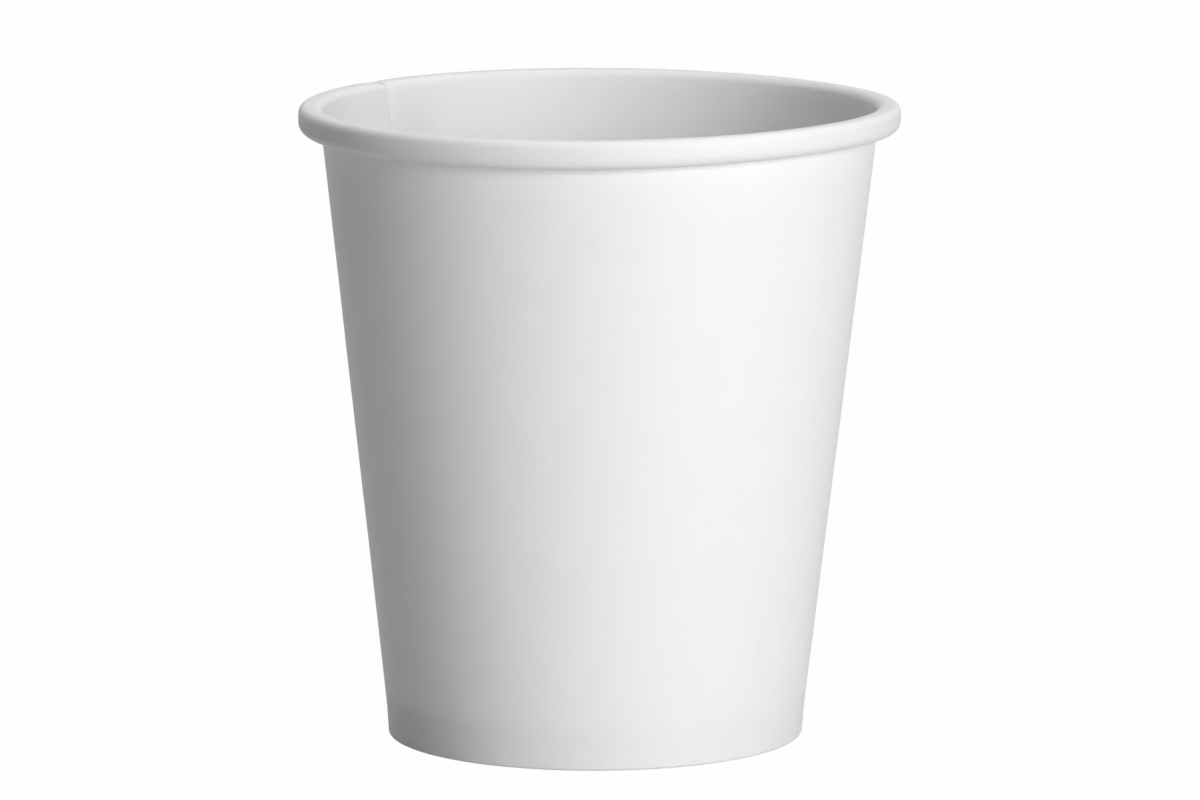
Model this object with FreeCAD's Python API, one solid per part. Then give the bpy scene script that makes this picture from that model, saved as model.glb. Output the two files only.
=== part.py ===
# A small paper bathroom cup, made the way such cups are made, from two pieces of coated board.
#
# sidewall     One fan-shaped sheet, wrapped round a cone and sealed along a lap seam. Its top edge
#              is rolled outwards into a rim. Its bottom edge is folded inwards and up, as a hem
#              that grips the skirt of the bottom disc.
# bottom_disc  A round sheet drawn into a shallow tray that stands upside down in the foot. Its
#              skirt is held between the wall and the hem.
#
# Millimetres. +Z is up, and the origin is the middle of the foot, on the surface that it stands on.
# A section is drawn in the plane of radius and height, then turned about Z.

import FreeCAD
import Part
import math
import os

# Overall sizes
rim_diameter = 57.0         # outside of the rolled rim
foot_diameter = 39.5        # outside of the foot, where it meets the table
cup_height = 60.4           # table to the top of the rolled rim

# Sheets
wall_sheet = 0.25           # thickness of the sidewall's board
disc_sheet = 0.25           # thickness of the bottom disc's board
seal_film = 0.02            # melted coating between two sealed sheets

# Rolled rim
rim_width = 2.26            # inside of the wall to the outside of the roll
rim_height = 2.65           # top to bottom of the roll
rim_top_bend = 0.83         # outside radius of the two bends that make its flattened top
rim_under_bend = 1.35       # outside radius of the easier bend that takes it under
rim_tuck_arc = 140.0        # degrees that the edge turns on inside the roll
rim_tuck_gap = 0.05         # clearance between the tucked edge and the wall, where it is doubled

# Foot
foot_band_height = 2.6      # height of the band that the crimping wheel presses more upright
foot_band_lean = 4.0        # degrees that this band leans outwards
foot_band_blend = 6.0       # radius of the bend from this band into the wall
foot_crease = 0.03          # inside radius of the two creases of the hem
hem_height = 3.9            # table to the free edge of the hem
floor_height = 4.6          # table to the top of the bottom disc
disc_corner = 0.45          # bend radius between the disc and its skirt
skirt_lift = 0.06           # clearance between the skirt's edge and the bottom of the fold

# Lap seam
seam_angle = 139.0          # degrees from +X to the sheet's inner cut edge
lap_width = 6.2             # width of the overlap, measured round the rim
lap_ramp_width = 2.8        # width over which the sheet climbs on to the inner layer
lap_ramp_steps = 3          # facets of that climb
lap_fade_height = 3.5       # height over which the second layer dies away above the foot band

full_turn = 360.0
half_turn = 180.0
quarter_turn = 90.0
drawing_tolerance = 1e-6


class SheetPath:
    """The line that the middle of a sheet follows in a section, as runs and bends that join smoothly.

    Points are (radius, height), and headings are degrees from the direction of growing radius.
    """

    def __init__(self, point, heading):
        self.points = [point]
        self.headings = [heading]
        self.middles = []           # one for each move: None for a run, (point, heading) for a bend

    def run(self, length):
        """Goes straight on."""
        heading = math.radians(self.headings[-1])
        radius, height = self.points[-1]
        self.points.append((radius + length * math.cos(heading), height + length * math.sin(heading)))
        self.headings.append(self.headings[-1])
        self.middles.append(None)
        return self

    def run_to_height(self, height):
        """Goes straight on as far as that height."""
        rise = height - self.points[-1][1]
        return self.run(rise / math.sin(math.radians(self.headings[-1])))

    def bend(self, radius, turn):
        """Turns left by that many degrees, or right where turn is negative."""
        start = self.points[-1]
        heading = self.headings[-1]
        centre = beside(start, heading, math.copysign(radius, turn))
        half = heading + turn / 2
        end = heading + turn
        self.middles.append((beside(centre, half, -math.copysign(radius, turn)), half))
        self.points.append(beside(centre, end, -math.copysign(radius, turn)))
        self.headings.append(end)
        return self

    def parallel(self, offsets):
        """The edges of the line at those distances to the left of each point."""
        corners = [beside(*place) for place in zip(self.points, self.headings, offsets)]
        edges = []
        for index, middle in enumerate(self.middles):
            start = in_section(corners[index])
            end = in_section(corners[index + 1])
            if middle is None:
                edges.append(Part.LineSegment(start, end).toShape())
            else:
                crown = in_section(beside(*middle, offsets[index]))
                edges.append(Part.Arc(start, crown, end).toShape())
        return edges


def beside(point, heading, distance):
    """The point at that distance to the left of a heading."""
    angle = math.radians(heading)
    return (point[0] - distance * math.sin(angle), point[1] + distance * math.cos(angle))


def in_section(point):
    """A point of the section as a point in space."""
    return FreeCAD.Vector(point[0], 0, point[1])


def closed(one_side, other_side):
    """One wire round a sheet, from the edges of its two faces and its cut ends."""
    edges = one_side + other_side
    for index in (0, -1):
        start = one_side[index].Vertexes[index].Point
        end = other_side[index].Vertexes[index].Point
        if not start.isEqual(end, drawing_tolerance):
            edges.append(Part.LineSegment(start, end).toShape())
    return Part.Wire(Part.__sortEdges__(edges))


def turned(shape, angle):
    """A copy of the shape, turned about the cup's axis."""
    copy = shape.copy()
    copy.rotate(FreeCAD.Vector(0, 0, 0), FreeCAD.Vector(0, 0, 1), angle)
    return copy


def swept(section, start, angle):
    """The solid that a closed section leaves as it goes round the cup from a starting angle."""
    solid = Part.Face(section).revolve(FreeCAD.Vector(0, 0, 0), FreeCAD.Vector(0, 0, 1), angle)
    return turned(solid, start)


# Foot: the middles of the wall's, the skirt's and the hem's sheets lie side by side in the fold
skirt_spacing = (wall_sheet + disc_sheet) / 2 + seal_film
hem_spacing = 2 * skirt_spacing
crease_bend = foot_crease + wall_sheet / 2
crease_height = wall_sheet / 2 + crease_bend
crease_drop = crease_bend * math.sin(math.radians(foot_band_lean))
band_heading = quarter_turn - foot_band_lean
band_base = beside((foot_diameter / 2, 0), band_heading, wall_sheet / 2)
blend_start = SheetPath(band_base, band_heading).run_to_height(foot_band_height).points[-1]
blend_centre = beside(blend_start, band_heading, -foot_band_blend)

# Rolled rim: a flattened top between two bends, an upright side, and an easier bend underneath
top_bend = rim_top_bend - wall_sheet / 2
under_bend = rim_under_bend - wall_sheet / 2
rim_centre = (rim_diameter / 2 - rim_width + rim_top_bend, cup_height - rim_top_bend)

# Wall: the straight line that touches the bend above the foot band and the first bend of the rim
centres_across = rim_centre[0] - blend_centre[0]
centres_up = rim_centre[1] - blend_centre[1]
centres_apart = math.hypot(centres_across, centres_up)
wall_heading = math.degrees(
    math.atan2(centres_up, centres_across)
    - math.asin((foot_band_blend - top_bend) / centres_apart)
)
wall_lean = quarter_turn - wall_heading
blend_turn = band_heading - wall_heading
wall_base = beside(blend_centre, wall_heading, foot_band_blend)


def beside_wall(inwards, height):
    """The point at that height on a line that runs beside the wall's middle, on its inner side."""
    line = SheetPath(beside(wall_base, wall_heading, inwards), wall_heading)
    return line.run_to_height(height).points[-1]


# Sidewall's sheet, from the hem's free edge down round the fold, up the wall and into the rim
sheet = SheetPath(beside_wall(hem_spacing, hem_height), wall_heading - half_turn)
sheet.run_to_height(beside(wall_base, wall_heading, hem_spacing)[1])
sheet.bend(foot_band_blend + hem_spacing, blend_turn)
sheet.run_to_height(crease_height + crease_drop)
sheet.bend(crease_bend, half_turn - band_heading)
sheet.run((hem_spacing - 2 * crease_bend) / math.cos(math.radians(foot_band_lean)))
sheet.bend(crease_bend, band_heading)
sheet.run_to_height(foot_band_height)
sheet.bend(foot_band_blend, -blend_turn)
foot_places = len(sheet.points)

sheet.run_to_height(foot_band_height + lap_fade_height)
sheet.run_to_height(beside(rim_centre, wall_heading, top_bend)[1])
sheet.bend(top_bend, -wall_heading)
sheet.run(rim_width - 2 * rim_top_bend)
sheet.bend(top_bend, -quarter_turn)
sheet.run(rim_height - rim_top_bend - rim_under_bend)
sheet.bend(under_bend, -quarter_turn)
lowest = sheet.points[-1]
room = (lowest[0] - beside_wall(0, lowest[1])[0]) * math.sin(math.radians(wall_heading))
tuck_bend = (room - 2 * wall_sheet - rim_tuck_gap) / (1 + math.sin(math.radians(wall_lean)))
sheet.bend(tuck_bend, -rim_tuck_arc)
rim_places = len(sheet.points) - foot_places


def face(side, lift=0.0):
    """One face of the sheet, which stands out from the cup by the lift everywhere above the foot."""
    return sheet.parallel([side] * foot_places + [side - lift] * rim_places)


def sheet_section(lift):
    """The outline of the sheet where it is lifted by that much."""
    return closed(face(wall_sheet / 2, lift), face(-wall_sheet / 2, lift))


# Lap seam: the sheet goes round, climbs on to its own start, and ends as an outer layer there
seam_radius = rim_diameter / 2
ramp_angle = math.degrees(lap_ramp_width / seam_radius)
lap_angle = math.degrees(lap_width / seam_radius)
sidewall = swept(sheet_section(0), seam_angle, full_turn - ramp_angle)
for step in range(lap_ramp_steps):
    ends = []
    for share in (step / lap_ramp_steps, (step + 1) / lap_ramp_steps):
        eased = share * share * (3 - 2 * share)
        ends.append(turned(sheet_section(wall_sheet * eased), seam_angle - ramp_angle * (1 - share)))
    sidewall = sidewall.fuse(Part.makeLoft(ends, True, True))
fade_start = foot_places - 1
lap_under = face(-wall_sheet / 2)[fade_start:]
lap_over = face(-wall_sheet / 2, wall_sheet)[fade_start:]
sidewall = sidewall.fuse(swept(closed(lap_under, lap_over), seam_angle, lap_angle))

# Bottom disc: flat across the foot, with a skirt that goes down between the wall and the hem
corner_bend = disc_corner + disc_sheet / 2
disc_middle = floor_height - disc_sheet / 2
corner_centre = beside_wall(skirt_spacing + corner_bend, disc_middle - corner_bend)
disc = SheetPath((0, disc_middle), 0)
disc.run(corner_centre[0])
disc.bend(corner_bend, wall_heading - half_turn)
disc.run_to_height(beside(wall_base, wall_heading, skirt_spacing)[1])
disc.bend(foot_band_blend + skirt_spacing, blend_turn)
disc.run_to_height(wall_sheet + skirt_lift)
disc_places = len(disc.points)
disc_top = disc.parallel([disc_sheet / 2] * disc_places)
disc_underside = disc.parallel([-disc_sheet / 2] * disc_places)
bottom_disc = swept(closed(disc_top, disc_underside), 0, full_turn)

os.makedirs("parts", exist_ok=True)
for name, solid in (("sidewall", sidewall), ("bottom_disc", bottom_disc)):
    solid.exportStep(os.path.join("parts", name + ".step"))
    print(name, solid.ShapeType, "valid", solid.isValid(), "volume", round(solid.Volume, 2))
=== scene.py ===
"""A small paper bathroom cup, made from two pieces of coated board.

The sidewall is one sheet: it is hemmed at the foot, wrapped round a cone on to its own start as a
lap seam, and rolled outwards at the rim. The bottom disc is a shallow tray that stands upside down
in the foot, with its skirt held in the hem. Each piece is drawn once, as a section in the plane of
radius and height, and Geometry Nodes wrap that section round the cup's axis.
"""

import logging
import math
import sys
from dataclasses import dataclass, field, replace
from enum import Enum

import bpy
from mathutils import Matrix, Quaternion, Vector

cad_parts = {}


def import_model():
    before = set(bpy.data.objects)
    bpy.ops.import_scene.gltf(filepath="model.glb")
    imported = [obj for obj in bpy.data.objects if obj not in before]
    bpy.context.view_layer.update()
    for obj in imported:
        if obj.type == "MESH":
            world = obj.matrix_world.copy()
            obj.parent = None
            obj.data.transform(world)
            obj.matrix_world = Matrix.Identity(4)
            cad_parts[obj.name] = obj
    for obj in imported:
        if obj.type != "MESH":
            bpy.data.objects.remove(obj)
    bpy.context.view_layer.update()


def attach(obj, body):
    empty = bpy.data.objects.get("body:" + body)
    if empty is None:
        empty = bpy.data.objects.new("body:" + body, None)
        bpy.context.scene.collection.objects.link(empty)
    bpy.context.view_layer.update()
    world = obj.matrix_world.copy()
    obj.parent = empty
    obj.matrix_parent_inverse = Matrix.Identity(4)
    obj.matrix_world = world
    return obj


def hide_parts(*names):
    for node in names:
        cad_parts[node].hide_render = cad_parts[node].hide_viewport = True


MM = 0.001
FULL_TURN = 2 * math.pi
HALF_TURN = math.pi
QUARTER_TURN = math.pi / 2
SHARP_EDGE = math.radians(38)
FACE_PATTERN_SHIFT = 0.1

log = logging.getLogger("paper_cup")


# --------------------------------------------------------------------------------------------
# Node trees
# --------------------------------------------------------------------------------------------


class Wiring:
    """Adds nodes to a tree and joins them."""

    def __init__(self, tree: bpy.types.NodeTree) -> None:
        """Takes the tree to work on.

        Args:
            tree: A geometry or shader node tree, or a node group.
        """
        self.tree = tree

    def socket(self, name: str, kind: str, is_output: bool = False, value: object = None) -> None:
        """Gives a node group one more named input or output.

        Args:
            name: What the socket is called.
            kind: Its type, such as NodeSocketFloat.
            is_output: Whether the group puts it out.
            value: Its value where nothing is joined to it.
        """
        side = "OUTPUT" if is_output else "INPUT"
        item = self.tree.interface.new_socket(name, in_out=side, socket_type=kind)
        if value is not None:
            item.default_value = value

    def add(self, kind: str, inputs: dict | None = None, **settings: object) -> bpy.types.Node:
        """Adds a node, and joins or sets its inputs.

        Args:
            kind: The node's type.
            inputs: A socket to join, or a value to set, for each input's name or number.
            **settings: The node's own properties.

        Returns:
            The new node.
        """
        node = self.tree.nodes.new(kind)
        for name, value in settings.items():
            setattr(node, name, value)
        for key, value in (inputs or {}).items():
            if isinstance(value, bpy.types.NodeSocket):
                self.tree.links.new(value, node.inputs[key])
            else:
                node.inputs[key].default_value = value
        return node

    def math(self, operation: str, *values: object) -> bpy.types.NodeSocket:
        """Does a sum on sockets or numbers.

        Args:
            operation: The Math node's operation, such as MULTIPLY_ADD.
            *values: What the operation works on.

        Returns:
            The socket that holds the result.
        """
        inputs = dict(enumerate(values))
        return self.add("ShaderNodeMath", inputs, operation=operation).outputs[0]

    def product(self, *values: object) -> bpy.types.NodeSocket:
        """Multiplies sockets or numbers together.

        Args:
            *values: Two or more factors.

        Returns:
            The socket that holds the result.
        """
        result = values[0]
        for value in values[1:]:
            result = self.math("MULTIPLY", result, value)
        return result

    def vector(self, x: object, y: object, z: object) -> bpy.types.NodeSocket:
        """Makes a vector of three sockets or numbers.

        Args:
            x: First part.
            y: Second part.
            z: Third part.

        Returns:
            The socket that holds the vector.
        """
        return self.add("ShaderNodeCombineXYZ", {"X": x, "Y": y, "Z": z}).outputs[0]

    def attribute(self, name: str) -> bpy.types.NodeSocket:
        """Reads a named number of each point in a geometry tree.

        Args:
            name: The attribute.

        Returns:
            The socket that holds it.
        """
        node = self.add("GeometryNodeInputNamedAttribute", {"Name": name}, data_type="FLOAT")
        return node.outputs["Attribute"]

    def store(
        self, geometry: bpy.types.NodeSocket, name: str, value: bpy.types.NodeSocket,
        kind: str = "FLOAT",
    ) -> bpy.types.NodeSocket:
        """Keeps a value of each point under a name.

        Args:
            geometry: What has the points.
            name: The attribute's name.
            value: What to keep.
            kind: Its data type.

        Returns:
            The geometry with the attribute.
        """
        inputs = {"Geometry": geometry, "Name": name, "Value": value}
        node = self.add("GeometryNodeStoreNamedAttribute", inputs, data_type=kind, domain="POINT")
        return node.outputs[0]


# --------------------------------------------------------------------------------------------
# Sheets of board, drawn as sections
# --------------------------------------------------------------------------------------------


@dataclass(frozen=True)
class SheetPlace:
    """One place on the middle of a sheet, in the plane of radius and height."""

    radius: float
    height: float
    heading: float

    def beside(self, distance: float) -> "SheetPlace":
        """The place at that distance to the left, with the same heading."""
        return SheetPlace(
            self.radius - distance * math.sin(self.heading),
            self.height + distance * math.cos(self.heading),
            self.heading,
        )

    def ahead(self, distance: float) -> "SheetPlace":
        """The place at that distance straight on."""
        return SheetPlace(
            self.radius + distance * math.cos(self.heading),
            self.height + distance * math.sin(self.heading),
            self.heading,
        )

    def turned(self, angle: float) -> "SheetPlace":
        """The same place, facing further to the left."""
        return SheetPlace(self.radius, self.height, self.heading + angle)


@dataclass(frozen=True)
class SheetHold:
    """How a sheet is held at one place.

    Each value is from 0 to 1: how free the sheet is to stand out from its neighbours, how hard the
    crimping wheel presses it, and how far it takes part in the unevenness of the rolled rim.
    """

    free: float = 0.0
    crimp: float = 0.0
    roll: float = 0.0

    def eased(self, end: "SheetHold", share: float) -> "SheetHold":
        """The hold at that share of the way to another one."""
        return SheetHold(
            self.free + (end.free - self.free) * share,
            self.crimp + (end.crimp - self.crimp) * share,
            self.roll + (end.roll - self.roll) * share,
        )


@dataclass
class SheetLine:
    """The middle line of a sheet in section, sampled with its hold as it is drawn."""

    start: SheetPlace
    hold: SheetHold = SheetHold()
    run_pitch: float = 0.8 * MM
    bend_pitch: float = math.radians(8)
    samples: list[tuple[SheetPlace, SheetHold]] = field(default_factory=list)

    def __post_init__(self) -> None:
        """Puts the first sample at the start."""
        self.samples.append((self.start, self.hold))

    @property
    def end(self) -> SheetPlace:
        """The last place reached."""
        return self.samples[-1][0]

    def run(self, distance: float, **ends: float) -> None:
        """Goes straight on, and eases the hold to new values on the way.

        Args:
            distance: How far to go.
            **ends: The values of the hold that change, as they are at the run's end.
        """
        start = self.end
        hold = replace(self.hold, **ends)
        steps = max(1, math.ceil(distance / self.run_pitch))
        for step in range(1, steps + 1):
            share = step / steps
            self.samples.append((start.ahead(distance * share), self.hold.eased(hold, share)))
        self.hold = hold

    def run_to_height(self, height: float, **ends: float) -> None:
        """Goes straight on as far as a height.

        Args:
            height: Where to stop.
            **ends: New values of the hold, as run takes them.
        """
        self.run((height - self.end.height) / math.sin(self.end.heading), **ends)

    def bend(self, radius: float, angle: float, **ends: float) -> None:
        """Turns left through an angle, or right where it is negative.

        Args:
            radius: Bend radius of the sheet's middle.
            angle: How far to turn, in radians.
            **ends: New values of the hold, as run takes them.
        """
        centre = self.end.beside(math.copysign(radius, angle))
        hold = replace(self.hold, **ends)
        steps = max(2, math.ceil(abs(angle) / self.bend_pitch))
        for step in range(1, steps + 1):
            share = step / steps
            place = centre.turned(angle * share).beside(-math.copysign(radius, angle))
            self.samples.append((place, self.hold.eased(hold, share)))
        self.hold = hold

    def section(self, name: str, thickness: float) -> bpy.types.Object:
        """Makes the sheet's outline as a ring of edges that carries what the wrap needs.

        Args:
            name: Name of the outline's object.
            thickness: The sheet's thickness.

        Returns:
            An object with one closed ring: the left face onwards, then the right face back.
        """
        ring = [(1.0, *sample) for sample in self.samples]
        ring += [(-1.0, *sample) for sample in reversed(self.samples)]
        count = len(self.samples)
        lengths = [0.0]
        for (before, _), (after, _) in zip(self.samples, self.samples[1:]):
            gap = math.hypot(after.radius - before.radius, after.height - before.height)
            lengths.append(lengths[-1] + gap)
        lengths += lengths[::-1]
        corners = [0, count - 1, count, 2 * count - 1]
        mesh = bpy.data.meshes.new(name)
        mesh.from_pydata(
            [(place.radius, 0.0, place.height) for _, place, _ in ring],
            [(index, (index + 1) % len(ring)) for index in range(len(ring))],
            [],
        )
        values = {
            "from_axis": [place.radius for _, place, _ in ring],
            "above_foot": [place.height for _, place, _ in ring],
            "facing_across": [math.sin(place.heading) for _, place, _ in ring],
            "facing_up": [-math.cos(place.heading) for _, place, _ in ring],
            "offset": [-side * thickness / 2 for side, _, _ in ring],
            "free": [hold.free for _, _, hold in ring],
            "roll": [hold.roll for _, _, hold in ring],
            "crimp": [hold.crimp if side < 0 else 0.0 for side, _, hold in ring],
            "along": [
                length - FACE_PATTERN_SHIFT * side for length, (side, _, _) in zip(lengths, ring)
            ],
            "sheet_end": [float(index in corners) for index in range(len(ring))],
        }
        for key, numbers in values.items():
            mesh.attributes.new(key, "FLOAT", "POINT").data.foreach_set("value", numbers)
        outline = bpy.data.objects.new(name, mesh)
        bpy.context.collection.objects.link(outline)
        return outline


class WrapTree:
    """Geometry Nodes that wrap a sheet's section round the cup's axis.

    The section is drawn out straight along a line, as the blank lies on the bench. Every point
    then takes its place round the axis. A turn of more than a full one climbs on to its own start.
    """

    GIRTH_RADIUS = 24 * MM
    OVAL_LOBES = 2.0
    TRIPLE_LOBES = 3.0
    TRIPLE_SHARE = 0.45
    RIB_SHARPNESS = 2.0
    MERGE_DISTANCE = 0.001 * MM
    AT_AN_END = 0.49999
    WHOLE_FACE = 0.99
    NUMBERS = {
        "Start Angle": 0.0,
        "Direction": 1.0,
        "Turn": FULL_TURN,
        "Climb Turn": 0.1,
        "Lap Lift": 0.0,
        "Lap Film": 0.0,
        "Crush Turn": 0.01,
        "Crush Share": 0.0,
        "Rib Count": 0.0,
        "Rib Depth": 0.0,
        "Sway": 0.0,
        "Sway Size": 0.01,
        "Lean": 0.0,
        "Roll Droop": 0.0,
        "Seed": 0.0,
    }

    def __init__(self) -> None:
        """Builds the tree."""
        self.tree = bpy.data.node_groups.new("Wrap the sheet round the cup", "GeometryNodeTree")
        wiring = Wiring(self.tree)
        wiring.socket("Section", "NodeSocketGeometry")
        wiring.socket("Columns", "NodeSocketInt", value=360)
        for name, value in self.NUMBERS.items():
            wiring.socket(name, "NodeSocketFloat", value=value)
        wiring.socket("Open Ends", "NodeSocketBool", value=False)
        wiring.socket("Board", "NodeSocketMaterial")
        wiring.socket("Cut Board", "NodeSocketMaterial")
        wiring.socket("Sheet", "NodeSocketGeometry", is_output=True)
        given = wiring.add("NodeGroupInput").outputs
        drawn = self._drawn_out(wiring, given)
        wrapped = self._wrapped(wiring, given, drawn)
        dressed = self._dressed(wiring, given, wrapped)
        wiring.add("NodeGroupOutput", {"Sheet": dressed})

    @staticmethod
    def _drawn_out(wiring: Wiring, given: object) -> bpy.types.NodeSocket:
        """Draws the section out straight, with each point's share of the way along.

        Args:
            wiring: The tree's wiring.
            given: The group's inputs.

        Returns:
            The straight sheet.
        """
        line = wiring.add("GeometryNodeCurvePrimitiveLine", {"End": (0.0, 1.0, 0.0)}).outputs[0]
        inputs = {"Curve": line, "Count": wiring.math("ADD", given["Columns"], 1)}
        path = wiring.add("GeometryNodeResampleCurve", inputs).outputs[0]
        share = wiring.add("GeometryNodeSplineParameter").outputs["Factor"]
        path = wiring.store(path, "share", share)
        profile = wiring.add("GeometryNodeMeshToCurve", {"Mesh": given["Section"]}).outputs[0]
        inputs = {"Curve": path, "Profile Curve": profile, "Fill Caps": given["Open Ends"]}
        return wiring.add("GeometryNodeCurveToMesh", inputs).outputs[0]

    @staticmethod
    def _wrapped(
        wiring: Wiring, given: object, sheet: bpy.types.NodeSocket
    ) -> bpy.types.NodeSocket:
        """Puts every point of the straight sheet in its place round the axis.

        Args:
            wiring: The tree's wiring.
            given: The group's inputs.
            sheet: The straight sheet.

        Returns:
            The wrapped sheet, closed where it meets itself.
        """
        read = wiring.attribute
        travelled = wiring.math("MULTIPLY", read("share"), given["Turn"])
        angle = wiring.math("MULTIPLY_ADD", travelled, given["Direction"], given["Start Angle"])
        cosine = wiring.math("COSINE", angle)
        sine = wiring.math("SINE", angle)
        climb_start = wiring.math("SUBTRACT", FULL_TURN, given["Climb Turn"])
        inputs = {"Value": travelled, "From Min": climb_start, "From Max": FULL_TURN}
        ramp = wiring.add("ShaderNodeMapRange", inputs, interpolation_type="SMOOTHSTEP")
        climb = ramp.outputs[0]
        lift = wiring.math("MULTIPLY_ADD", given["Lap Lift"], read("free"), given["Lap Film"])
        lift = wiring.product(climb, lift)

        across = wiring.math("MULTIPLY", read("from_axis"), cosine)
        back = wiring.math("MULTIPLY", read("from_axis"), sine)
        inputs = {
            "Vector": wiring.vector(across, back, read("above_foot")),
            "W": given["Seed"],
            "Scale": wiring.math("DIVIDE", 1.0, given["Sway Size"]),
            "Detail": 1.0,
        }
        noise = wiring.add("ShaderNodeTexNoise", inputs, noise_dimensions="4D").outputs[0]
        swing = wiring.math("SUBTRACT", wiring.math("MULTIPLY", noise, 2.0), 1.0)
        sway = wiring.product(swing, given["Sway"], read("free"))

        wave = wiring.math("COSINE", wiring.math("MULTIPLY", angle, given["Rib Count"]))
        groove = wiring.math("MULTIPLY_ADD", wave, 0.5, 0.5)
        groove = wiring.math("POWER", groove, WrapTree.RIB_SHARPNESS)
        rib = wiring.product(groove, given["Rib Depth"], read("crimp"))

        oval = wiring.math("SINE", wiring.math("MULTIPLY", angle, WrapTree.OVAL_LOBES))
        triple = wiring.math("SINE", wiring.math("MULTIPLY", angle, WrapTree.TRIPLE_LOBES))
        uneven = wiring.math("MULTIPLY_ADD", triple, WrapTree.TRIPLE_SHARE, oval)
        droop = wiring.product(uneven, given["Roll Droop"], read("roll"))

        inputs = {
            "Value": travelled, "From Min": 0.0, "From Max": given["Crush Turn"],
            "To Min": given["Crush Share"], "To Max": 0.0,
        }
        crush = wiring.add("ShaderNodeMapRange", inputs).outputs[0]
        inner = wiring.math("MAXIMUM", wiring.math("MULTIPLY", read("offset"), -2.0), 0.0)
        crush = wiring.product(crush, inner, read("free"))

        out = wiring.math("ADD", read("offset"), lift)
        out = wiring.math("ADD", out, crush)
        out = wiring.math("ADD", out, sway)
        out = wiring.math("SUBTRACT", out, rib)
        radius = wiring.math("MULTIPLY_ADD", read("facing_across"), out, read("from_axis"))
        height = wiring.math("MULTIPLY_ADD", read("facing_up"), out, read("above_foot"))
        height = wiring.math("SUBTRACT", height, droop)
        height = wiring.math("ADD", height, given["Lap Film"])
        across = wiring.math("MULTIPLY", radius, cosine)
        across = wiring.math("MULTIPLY_ADD", height, given["Lean"], across)
        back = wiring.math("MULTIPLY", radius, sine)
        inputs = {"Geometry": sheet, "Position": wiring.vector(across, back, height)}
        placed = wiring.add("GeometryNodeSetPosition", inputs).outputs[0]
        girth = wiring.math("MULTIPLY", angle, WrapTree.GIRTH_RADIUS)
        blank = wiring.vector(girth, read("along"), 0.0)
        placed = wiring.store(placed, "blank_place", blank, "FLOAT_VECTOR")
        mirrored = wiring.math("LESS_THAN", given["Direction"], 0.0)
        inputs = {"Mesh": placed, "Selection": mirrored}
        outward = wiring.add("GeometryNodeFlipFaces", inputs).outputs[0]
        inputs = {"Geometry": outward, "Distance": WrapTree.MERGE_DISTANCE}
        return wiring.add("GeometryNodeMergeByDistance", inputs).outputs[0]

    @staticmethod
    def _dressed(
        wiring: Wiring, given: object, sheet: bpy.types.NodeSocket
    ) -> bpy.types.NodeSocket:
        """Gives the sheet its board finish, and its cut ends the finish of raw board.

        Args:
            wiring: The tree's wiring.
            given: The group's inputs.
            sheet: The wrapped sheet.

        Returns:
            The finished geometry.
        """
        real = wiring.add("GeometryNodeRealizeInstances", {"Geometry": sheet}).outputs[0]
        inputs = {"Geometry": real, "Material": given["Board"]}
        board = wiring.add("GeometryNodeSetMaterial", inputs).outputs[0]
        middle = wiring.math("ABSOLUTE", wiring.math("SUBTRACT", wiring.attribute("share"), 0.5))
        side_cut = wiring.math("GREATER_THAN", middle, WrapTree.AT_AN_END)
        side_cut = wiring.math("MULTIPLY", side_cut, given["Open Ends"])
        end_cut = wiring.math("GREATER_THAN", wiring.attribute("sheet_end"), WrapTree.WHOLE_FACE)
        cut = wiring.math("MAXIMUM", side_cut, end_cut)
        on_faces = wiring.add(
            "GeometryNodeFieldOnDomain", {0: cut}, data_type="FLOAT", domain="FACE"
        ).outputs[0]
        is_cut = wiring.math("GREATER_THAN", on_faces, WrapTree.WHOLE_FACE)
        inputs = {"Geometry": board, "Selection": is_cut, "Material": given["Cut Board"]}
        return wiring.add("GeometryNodeSetMaterial", inputs).outputs[0]

    def wrap(self, outline: bpy.types.Object, name: str, values: dict) -> bpy.types.Object:
        """Wraps one section and keeps the result as a plain mesh.

        Args:
            outline: The section's object, which is used up.
            name: Name of the finished piece.
            values: The tree's inputs by name.

        Returns:
            The finished piece, at the origin.
        """
        modifier = outline.modifiers.new("wrap", "NODES")
        modifier.node_group = self.tree
        for item in self.tree.interface.items_tree:
            if item.name in values:
                modifier[item.identifier] = values[item.name]
        outline.update_tag()
        evaluated = outline.evaluated_get(bpy.context.evaluated_depsgraph_get())
        mesh = bpy.data.meshes.new_from_object(evaluated)
        mesh.name = name
        outline.modifiers.remove(modifier)
        bpy.data.objects.remove(outline)
        mesh.shade_smooth()
        mesh.set_sharp_from_angle(angle=SHARP_EDGE)
        piece = bpy.data.objects.new(name, mesh)
        bpy.context.collection.objects.link(piece)
        return piece


# --------------------------------------------------------------------------------------------
# Finishes
# --------------------------------------------------------------------------------------------


class PatternPlace(Enum):
    """What a finish's pattern is laid out on."""

    BLANK = "blank_place"
    SOLID = "Object"


# The specks' scale against the clouds', and where a speck is at its full and where it has faded.
SPECK_SCALE = 0.35
SPECK_CORE = 0.02
SPECK_EDGE = 0.05


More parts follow.
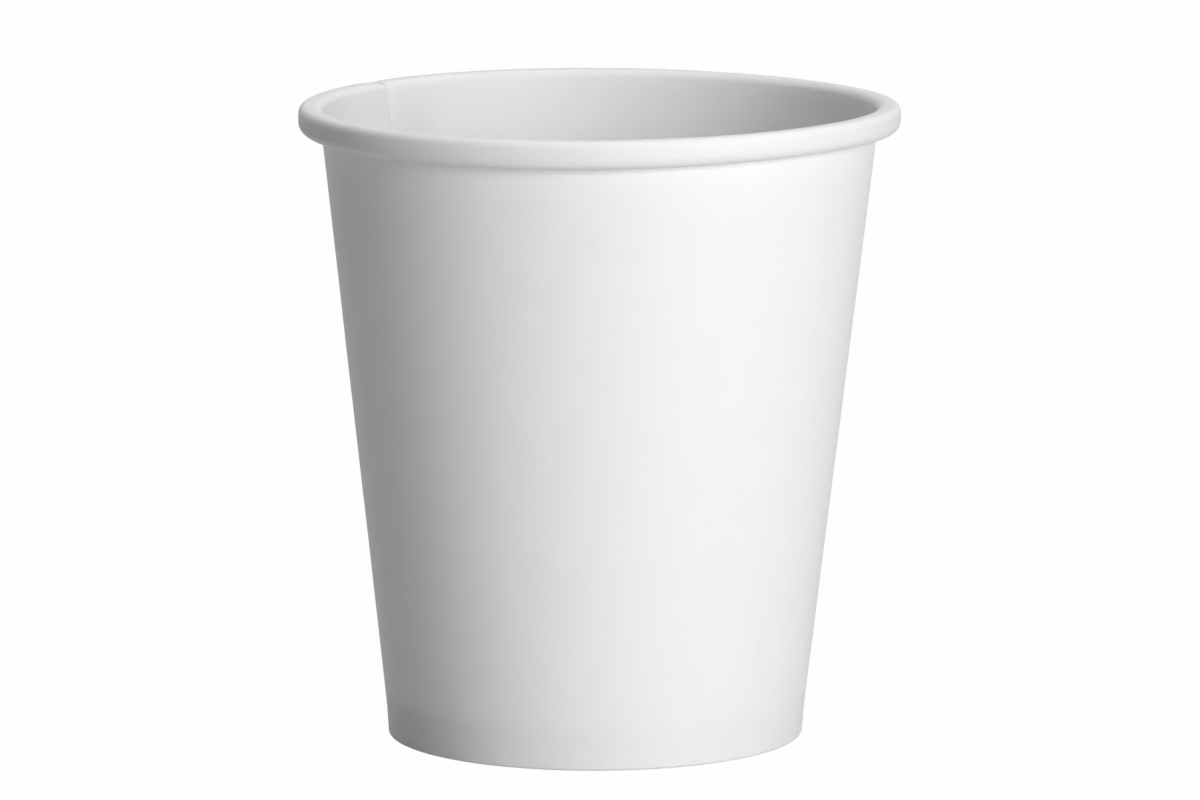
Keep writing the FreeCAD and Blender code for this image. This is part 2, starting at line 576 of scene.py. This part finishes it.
def paper_group() -> bpy.types.NodeTree:
    """Builds the shader group for the look of paper: cloudy formation, matted fibres and specks.

    Returns:
        The node group, shared by every board finish.
    """
    tree = bpy.data.node_groups.new("Paper formation", "ShaderNodeTree")
    wiring = Wiring(tree)
    wiring.socket("Place", "NodeSocketVector")
    wiring.socket("Colour", "NodeSocketColor", value=(0.9, 0.9, 0.9, 1.0))
    wiring.socket("Cloud Size", "NodeSocketFloat", value=0.003)
    wiring.socket("Cloud Depth", "NodeSocketFloat", value=0.02)
    wiring.socket("Fibre Size", "NodeSocketFloat", value=0.0003)
    wiring.socket("Speck Depth", "NodeSocketFloat", value=0.1)
    wiring.socket("Roughness", "NodeSocketFloat", value=0.6)
    wiring.socket("Roughness Change", "NodeSocketFloat", value=0.1)
    wiring.socket("Colour", "NodeSocketColor", is_output=True)
    wiring.socket("Roughness", "NodeSocketFloat", is_output=True)
    wiring.socket("Height", "NodeSocketFloat", is_output=True)
    given = wiring.add("NodeGroupInput").outputs

    cloud_scale = wiring.math("DIVIDE", 1.0, given["Cloud Size"])
    inputs = {"Vector": given["Place"], "Scale": cloud_scale, "Detail": 3.0, "Roughness": 0.6}
    cloud = wiring.add("ShaderNodeTexNoise", inputs).outputs["Fac"]
    fibre_scale = wiring.math("DIVIDE", 1.0, given["Fibre Size"])
    inputs = {
        "Vector": given["Place"], "Scale": fibre_scale, "Detail": 4.0, "Roughness": 0.7,
        "Distortion": 1.5,
    }
    fibre = wiring.add("ShaderNodeTexNoise", inputs).outputs["Fac"]

    speck_scale = wiring.math("MULTIPLY", cloud_scale, SPECK_SCALE)
    inputs = {"Vector": given["Place"], "Scale": speck_scale}
    spots = wiring.add("ShaderNodeTexVoronoi", inputs, feature="F1").outputs["Distance"]
    inputs = {
        "Value": spots, "From Min": SPECK_CORE, "From Max": SPECK_EDGE, "To Min": 1.0,
        "To Max": 0.0,
    }
    speck = wiring.add("ShaderNodeMapRange", inputs).outputs[0]

    dark = wiring.product(wiring.math("SUBTRACT", cloud, 0.5), given["Cloud Depth"])
    dark = wiring.math("MULTIPLY_ADD", speck, given["Speck Depth"], dark)
    shade = wiring.math("SUBTRACT", 1.0, dark)
    inputs = {0: given["Colour"], "Scale": shade}
    shaded = wiring.add("ShaderNodeVectorMath", inputs, operation="SCALE").outputs[0]

    change = wiring.product(wiring.math("SUBTRACT", fibre, 0.5), given["Roughness Change"])
    roughness = wiring.math("ADD", given["Roughness"], change)
    height = wiring.math("MULTIPLY_ADD", cloud, 2.0, fibre)
    wiring.add("NodeGroupOutput", {"Colour": shaded, "Roughness": roughness, "Height": height})
    return tree


@dataclass(frozen=True)
class BoardFinish:
    """A finish of the cup's board.

    The gloss sets its sheen, and the glow is the share of light that passes on through a face.
    """

    name: str
    colour: tuple[float, float, float]
    roughness: float
    roughness_change: float
    cloud_size: float
    cloud_depth: float
    fibre_size: float
    fibre_depth: float
    speck_depth: float
    gloss: float
    glow: float
    place: PatternPlace

    def material(self, formation: bpy.types.NodeTree) -> bpy.types.Material:
        """Makes the finish's material.

        Args:
            formation: The shared group for the look of paper.

        Returns:
            The material.
        """
        made = bpy.data.materials.new(self.name)
        made.use_nodes = True
        made.node_tree.nodes.clear()
        wiring = Wiring(made.node_tree)
        if self.place is PatternPlace.SOLID:
            place = wiring.add("ShaderNodeTexCoord").outputs["Object"]
        else:
            node = wiring.add("ShaderNodeAttribute", attribute_name=self.place.value)
            place = node.outputs["Vector"]
        paper = wiring.add("ShaderNodeGroup", node_tree=formation)
        wiring.tree.links.new(place, paper.inputs["Place"])
        values = {
            "Colour": (*self.colour, 1.0),
            "Cloud Size": self.cloud_size,
            "Cloud Depth": self.cloud_depth,
            "Fibre Size": self.fibre_size,
            "Speck Depth": self.speck_depth,
            "Roughness": self.roughness,
            "Roughness Change": self.roughness_change,
        }
        for name, value in values.items():
            paper.inputs[name].default_value = value
        inputs = {"Height": paper.outputs["Height"], "Distance": self.fibre_depth, "Strength": 1.0}
        bump = wiring.add("ShaderNodeBump", inputs).outputs[0]
        inputs = {
            "Base Color": paper.outputs["Colour"],
            "Roughness": paper.outputs["Roughness"],
            "Normal": bump,
            "Specular IOR Level": self.gloss,
        }
        lit = wiring.add("ShaderNodeBsdfPrincipled", inputs).outputs[0]
        inputs = {"Color": paper.outputs["Colour"], "Normal": bump}
        through = wiring.add("ShaderNodeBsdfTranslucent", inputs).outputs[0]
        inputs = {0: self.glow, 1: lit, 2: through}
        shader = wiring.add("ShaderNodeMixShader", inputs).outputs[0]
        wiring.add("ShaderNodeOutputMaterial", {"Surface": shader})
        return made


WALL_BOARD = BoardFinish(
    name="coated_cup_board",
    colour=(0.925, 0.925, 0.923),
    roughness=0.55,
    roughness_change=0.16,
    cloud_size=3.2 * MM,
    cloud_depth=0.030,
    fibre_size=0.35 * MM,
    fibre_depth=0.010 * MM,
    speck_depth=0.05,
    gloss=0.35,
    glow=0.20,
    place=PatternPlace.BLANK,
)
DISC_BOARD = BoardFinish(
    name="bottom_cup_board",
    colour=(0.915, 0.915, 0.912),
    roughness=0.58,
    roughness_change=0.16,
    cloud_size=2.8 * MM,
    cloud_depth=0.035,
    fibre_size=0.33 * MM,
    fibre_depth=0.011 * MM,
    speck_depth=0.05,
    gloss=0.35,
    glow=0.20,
    place=PatternPlace.SOLID,
)
CUT_BOARD = BoardFinish(
    name="cut_edge_of_board",
    colour=(0.84, 0.835, 0.815),
    roughness=0.92,
    roughness_change=0.10,
    cloud_size=0.25 * MM,
    cloud_depth=0.22,
    fibre_size=0.06 * MM,
    fibre_depth=0.020 * MM,
    speck_depth=0.10,
    gloss=0.15,
    glow=0.10,
    place=PatternPlace.SOLID,
)


# --------------------------------------------------------------------------------------------
# The cup
# --------------------------------------------------------------------------------------------


@dataclass(frozen=True)
class CupShape:
    """The sizes that the two pieces share, and the places that follow from them."""

    rim_diameter: float = 57.0 * MM
    foot_diameter: float = 39.5 * MM
    cup_height: float = 60.4 * MM
    board: float = 0.25 * MM
    seal_film: float = 0.02 * MM
    rim_width: float = 2.26 * MM
    rim_height: float = 2.65 * MM
    rim_top_bend: float = 0.83 * MM
    rim_outer_bend: float = 0.70 * MM
    rim_under_bend: float = 1.10 * MM
    foot_band_height: float = 2.6 * MM
    foot_band_lean: float = math.radians(4)
    foot_band_blend: float = 6.0 * MM

    @property
    def skirt_spacing(self) -> float:
        """Middle of the wall's sheet to the middle of the skirt's, and on to the hem's."""
        return self.board + self.seal_film

    @property
    def band_heading(self) -> float:
        """The direction that the foot band rises in."""
        return QUARTER_TURN - self.foot_band_lean

    @property
    def band_top(self) -> SheetPlace:
        """Where the foot band ends and its bend into the wall starts."""
        base = SheetPlace(self.foot_diameter / 2, 0.0, self.band_heading).beside(self.board / 2)
        rise = self.foot_band_height - base.height
        return base.ahead(rise / math.sin(self.band_heading))

    @property
    def top_bend(self) -> float:
        """Radius that the middle of the sheet has in the bend into the rim's top."""
        return self.rim_top_bend - self.board / 2

    @property
    def rim_centre(self) -> SheetPlace:
        """Centre of the rolled rim's first bend."""
        across = self.rim_diameter / 2 - self.rim_width + self.rim_top_bend
        return SheetPlace(across, self.cup_height - self.rim_top_bend, 0.0)

    @property
    def blend_centre(self) -> SheetPlace:
        """Centre of the bend between the foot band and the wall."""
        return self.band_top.beside(-self.foot_band_blend)

    @property
    def wall_heading(self) -> float:
        """The direction that the wall rises in, which touches both bends."""
        across = self.rim_centre.radius - self.blend_centre.radius
        up = self.rim_centre.height - self.blend_centre.height
        narrowing = (self.foot_band_blend - self.top_bend) / math.hypot(across, up)
        return math.atan2(up, across) - math.asin(narrowing)

    @property
    def blend_turn(self) -> float:
        """The angle between the foot band and the wall."""
        return self.band_heading - self.wall_heading

    @property
    def wall_base(self) -> SheetPlace:
        """Where the wall's straight part starts, above the bend."""
        centre = self.blend_centre
        return SheetPlace(centre.radius, centre.height, self.wall_heading).beside(
            self.foot_band_blend
        )

    def beside_wall(self, inwards: float, height: float) -> SheetPlace:
        """Finds a place on a line beside the wall's middle.

        Args:
            inwards: How far the line lies inside the wall's middle.
            height: The place's height.

        Returns:
            The place, headed up the wall.
        """
        line = self.wall_base.beside(inwards)
        return line.ahead((height - line.height) / math.sin(self.wall_heading))


@dataclass
class Sidewall:
    """The wall, with its hemmed foot, lap seam and rolled rim, all of one sheet.

    Where the board is pressed, at the foot and on the roll, the lap's second layer overlaps its
    start. The film of coating keeps the faces of the two from lying in one another.
    """

    shape: CupShape
    foot_crease: float = 0.03 * MM
    hem_height: float = 3.9 * MM
    crimp_start: float = 0.35 * MM
    crimp_foot: float = 0.7 * MM
    bend_pitch: float = math.radians(9)
    wall_pitch: float = 1.6 * MM
    seam_angle: float = math.radians(140.8)
    lap_width: float = 6.2 * MM
    lap_climb: float = 2.8 * MM
    lap_fade_height: float = 3.5 * MM
    lap_film: float = 0.01 * MM
    crush_width: float = 0.9 * MM
    crush_share: float = 0.85
    rim_tuck_arc: float = math.radians(140)
    rim_tuck_gap: float = 0.05 * MM
    roll_droop: float = 0.19 * MM
    roll_top_share: float = 0.5
    roll_reach: float = 12 * MM
    pressed_free: float = 0.35
    crimp_ribs: int = 96
    crimp_depth: float = 0.07 * MM
    sway: float = 0.045 * MM
    sway_size: float = 13 * MM
    sway_seed: float = 3.0
    lean: float = 0.0082
    columns: int = 372

    def line(self) -> SheetLine:
        """Draws the middle of the sheet, from the hem's free edge to the edge inside the rim.

        Returns:
            The drawn line.
        """
        shape = self.shape
        board = shape.board
        spacing = 2 * shape.skirt_spacing
        crease = self.foot_crease + board / 2
        crease_drop = crease * math.sin(shape.foot_band_lean)
        start = shape.beside_wall(spacing, self.hem_height).turned(-HALF_TURN)
        line = SheetLine(start, bend_pitch=self.bend_pitch)
        line.run(self.crimp_start, crimp=1.0)
        line.run_to_height(shape.wall_base.beside(spacing).height)
        line.bend(shape.foot_band_blend + spacing, shape.blend_turn)
        line.run_to_height(board + self.crimp_foot)
        line.run_to_height(board / 2 + crease + crease_drop, crimp=0.0)
        line.bend(crease, HALF_TURN - shape.band_heading)
        line.run((spacing - 2 * crease) / math.cos(shape.foot_band_lean))
        line.bend(crease, shape.band_heading)
        line.run_to_height(shape.foot_band_height)
        line.bend(shape.foot_band_blend, -shape.blend_turn)
        line.run_pitch = self.wall_pitch
        line.run_to_height(shape.foot_band_height + self.lap_fade_height, free=1.0)
        rim_start = SheetPlace(
            shape.rim_centre.radius, shape.rim_centre.height, shape.wall_heading
        ).beside(shape.top_bend)
        line.run_to_height(rim_start.height - self.roll_reach)
        line.run_to_height(rim_start.height, roll=self.roll_top_share)
        line.bend(shape.top_bend, -shape.wall_heading)
        top_width = shape.rim_width - shape.rim_top_bend - shape.rim_outer_bend
        line.run(top_width, free=self.pressed_free)
        line.bend(shape.rim_outer_bend - board / 2, -QUARTER_TURN)
        line.run(shape.rim_height - shape.rim_outer_bend - shape.rim_under_bend, roll=1.0)
        line.bend(shape.rim_under_bend - board / 2, -QUARTER_TURN)
        lowest = line.end
        across = lowest.radius - shape.beside_wall(0, lowest.height).radius
        room = across * math.sin(shape.wall_heading) - 2 * board - self.rim_tuck_gap
        line.bend(room / (1 + math.cos(shape.wall_heading)), -self.rim_tuck_arc)
        return line

    def build(
        self, wrap: WrapTree, board: bpy.types.Material, cut: bpy.types.Material
    ) -> bpy.types.Object:
        """Makes the sidewall.

        Args:
            wrap: The tree that wraps the section.
            board: Finish of the board's faces.
            cut: Finish of its cut edges.

        Returns:
            The finished piece.
        """
        outline = self.line().section("sidewall_section", self.shape.board)
        seam_radius = self.shape.rim_diameter / 2
        values = {
            "Columns": self.columns,
            "Start Angle": self.seam_angle,
            "Direction": -1.0,
            "Turn": FULL_TURN + self.lap_width / seam_radius,
            "Climb Turn": self.lap_climb / seam_radius,
            "Lap Lift": self.shape.board,
            "Lap Film": self.lap_film,
            "Crush Turn": self.crush_width / seam_radius,
            "Crush Share": self.crush_share,
            "Rib Count": float(self.crimp_ribs),
            "Rib Depth": self.crimp_depth,
            "Sway": self.sway,
            "Sway Size": self.sway_size,
            "Lean": self.lean,
            "Roll Droop": self.roll_droop,
            "Seed": self.sway_seed,
            "Open Ends": True,
            "Board": board,
            "Cut Board": cut,
        }
        return wrap.wrap(outline, "sidewall_sheet", values)


@dataclass
class BottomDisc:
    """The shallow tray that closes the cup, with its skirt down in the hem."""

    shape: CupShape
    floor_height: float = 4.6 * MM
    corner: float = 0.45 * MM
    skirt_lift: float = 0.06 * MM
    sway: float = 0.10 * MM
    sway_size: float = 16 * MM
    sway_seed: float = 8.0
    flat_edge: float = 2 * MM
    columns: int = 300

    def line(self) -> SheetLine:
        """Draws the middle of the sheet, from the cup's axis to the skirt's edge.

        Returns:
            The drawn line.
        """
        shape = self.shape
        spacing = shape.skirt_spacing
        bend = self.corner + shape.board / 2
        middle = self.floor_height - shape.board / 2
        corner = shape.beside_wall(spacing + bend, middle - bend)
        line = SheetLine(SheetPlace(0.0, middle, 0.0), SheetHold(free=1.0))
        line.run(corner.radius - self.flat_edge)
        line.run(corner.radius - line.end.radius, free=0.0)
        line.bend(bend, shape.wall_heading - HALF_TURN)
        line.run_to_height(shape.wall_base.beside(spacing).height)
        line.bend(shape.foot_band_blend + spacing, shape.blend_turn)
        line.run_to_height(shape.board + self.skirt_lift)
        return line

    def build(
        self, wrap: WrapTree, board: bpy.types.Material, cut: bpy.types.Material
    ) -> bpy.types.Object:
        """Makes the bottom disc.

        Args:
            wrap: The tree that wraps the section.
            board: Finish of the board's faces.
            cut: Finish of its cut edges.

        Returns:
            The finished piece.
        """
        values = {
            "Columns": self.columns,
            "Turn": FULL_TURN,
            "Sway": self.sway,
            "Sway Size": self.sway_size,
            "Seed": self.sway_seed,
            "Board": board,
            "Cut Board": cut,
        }
        outline = self.line().section("bottom_disc_section", self.shape.board)
        return wrap.wrap(outline, "bottom_disc_sheet", values)


# --------------------------------------------------------------------------------------------
# The studio
# --------------------------------------------------------------------------------------------


@dataclass(frozen=True)
class SoftBox:
    """A square soft light."""

    name: str
    bearing: float
    elevation: float
    distance: float
    size: float
    power: float

    def place(self, target: Vector) -> None:
        """Puts the light in the scene, aimed at a point.

        Args:
            target: What it lights.
        """
        lamp = bpy.data.lights.new(self.name, "AREA")
        lamp.shape = "SQUARE"
        lamp.size = self.size
        lamp.energy = self.power
        light = bpy.data.objects.new(self.name, lamp)
        away = Vector((
            math.cos(self.elevation) * math.sin(self.bearing),
            -math.cos(self.elevation) * math.cos(self.bearing),
            math.sin(self.elevation),
        ))
        light.location = target + away * self.distance
        light.rotation_mode = "QUATERNION"
        light.rotation_quaternion = (-away).to_track_quat("-Z", "Y")
        bpy.context.collection.objects.link(light)


@dataclass
class Studio:
    """The floor, the surroundings, the lights and the camera."""

    light_aim: tuple[float, float, float] = (0.0, 0.0, 30 * MM)
    floor_half: float = 4.0
    floor_colour: float = 0.55
    floor_white: float = 0.985
    camera_place: tuple[float, float, float] = (0.0, -804.6 * MM, 160.2 * MM)
    camera_aim: tuple[float, float, float] = (0.49 * MM, 0.0, 31.99 * MM)
    camera_roll: float = math.radians(-0.077)
    lens: float = 256.93
    lights: tuple[SoftBox, ...] = (
        SoftBox("key_softbox", math.radians(35), math.radians(12), 0.9, 0.45, 6.75),
        SoftBox("front_softbox", math.radians(10), math.radians(12), 0.9, 0.45, 0.6),
        SoftBox("top_softbox", 0.0, math.radians(88), 0.9, 0.6, 2.9),
        SoftBox("back_softbox", math.radians(180), math.radians(60), 0.9, 0.6, 1.8),
        SoftBox("left_softbox", math.radians(-120), math.radians(75), 0.9, 0.6, 0.6),
    )

    @staticmethod
    def _seen(wiring: Wiring) -> bpy.types.NodeSocket:
        """Tells whether a ray sees the surroundings as white.

        Args:
            wiring: The tree's wiring.

        Returns:
            A socket that is 1 for camera, glossy and transmission rays. The last two reach the
            cup as well, in its sheen and through its board. They give it about a tenth of its
            light, and up to a quarter on its shaded side.
        """
        rays = wiring.add("ShaderNodeLightPath").outputs
        seen = wiring.math("MAXIMUM", rays["Is Camera Ray"], rays["Is Glossy Ray"])
        return wiring.math("MAXIMUM", seen, rays["Is Transmission Ray"])

    def build_world(self) -> None:
        """Makes surroundings that are white to the rays that see them, and black to the rest."""
        world = bpy.data.worlds.new("white_surroundings")
        world.use_nodes = True
        world.node_tree.nodes.clear()
        wiring = Wiring(world.node_tree)
        inputs = {"Color": (1.0, 1.0, 1.0, 1.0), "Strength": self._seen(wiring)}
        light = wiring.add("ShaderNodeBackground", inputs).outputs[0]
        wiring.add("ShaderNodeOutputWorld", {"Surface": light})
        bpy.context.scene.world = world

    def build_floor(self) -> bpy.types.Object:
        """Makes the plain floor, which looks white and lights the cup as a pale grey does.

        The white laid over it hides nearly all of the cup's shadow.

        Returns:
            The floor.
        """
        half = self.floor_half
        mesh = bpy.data.meshes.new("floor")
        corners = [(-half, -half, 0.0), (half, -half, 0.0), (half, half, 0.0), (-half, half, 0.0)]
        mesh.from_pydata(corners, [], [(0, 1, 2, 3)])
        floor = bpy.data.objects.new("floor", mesh)
        bpy.context.collection.objects.link(floor)

        finish = bpy.data.materials.new("white_floor")
        finish.use_nodes = True
        finish.node_tree.nodes.clear()
        wiring = Wiring(finish.node_tree)
        tone = (self.floor_colour,) * 3 + (1.0,)
        matt = wiring.add("ShaderNodeBsdfDiffuse", {"Color": tone})
        white = wiring.add("ShaderNodeEmission", {"Strength": 1.0})
        shown = wiring.math("MULTIPLY", self._seen(wiring), self.floor_white)
        inputs = {0: shown, 1: matt.outputs[0], 2: white.outputs[0]}
        mixed = wiring.add("ShaderNodeMixShader", inputs).outputs[0]
        wiring.add("ShaderNodeOutputMaterial", {"Surface": mixed})
        mesh.materials.append(finish)
        return floor

    def build_camera(self) -> None:
        """Sets up the camera, a little above the rim and a long way off."""
        data = bpy.data.cameras.new("camera")
        data.lens = self.lens
        data.sensor_width = 36.0
        data.clip_start = 0.01
        data.clip_end = 50.0
        camera = bpy.data.objects.new("camera", data)
        place = Vector(self.camera_place)
        view = (Vector(self.camera_aim) - place).to_track_quat("-Z", "Y")
        camera.location = place
        camera.rotation_mode = "QUATERNION"
        camera.rotation_quaternion = view @ Quaternion((0.0, 0.0, 1.0), self.camera_roll)
        bpy.context.collection.objects.link(camera)
        bpy.context.scene.camera = camera

    def build(self) -> bpy.types.Object:
        """Sets up the whole studio.

        Returns:
            The floor, which isn't part of the cup.
        """
        self.build_world()
        self.build_camera()
        for light in self.lights:
            light.place(Vector(self.light_aim))
        bpy.context.scene.view_settings.view_transform = "Standard"
        return self.build_floor()


def main() -> None:
    """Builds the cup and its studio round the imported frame."""
    logging.basicConfig(level=logging.INFO, format="%(message)s", stream=sys.stdout)
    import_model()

    formation = paper_group()
    wall_board = WALL_BOARD.material(formation)
    disc_board = DISC_BOARD.material(formation)
    cut_board = CUT_BOARD.material(formation)
    shape = CupShape()
    wrap = WrapTree()
    pieces = (
        (Sidewall(shape).build(wrap, wall_board, cut_board), "sidewall", "sidewall_board"),
        (BottomDisc(shape).build(wrap, disc_board, cut_board), "bottom_disc", "bottom_board"),
    )
    for piece, node, slot in pieces:
        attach(piece, "root")
        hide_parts(node)
        log.info("%s: %d faces", piece.name, len(piece.data.polygons))

    Studio().build()


if __name__ == "__main__":
    main()
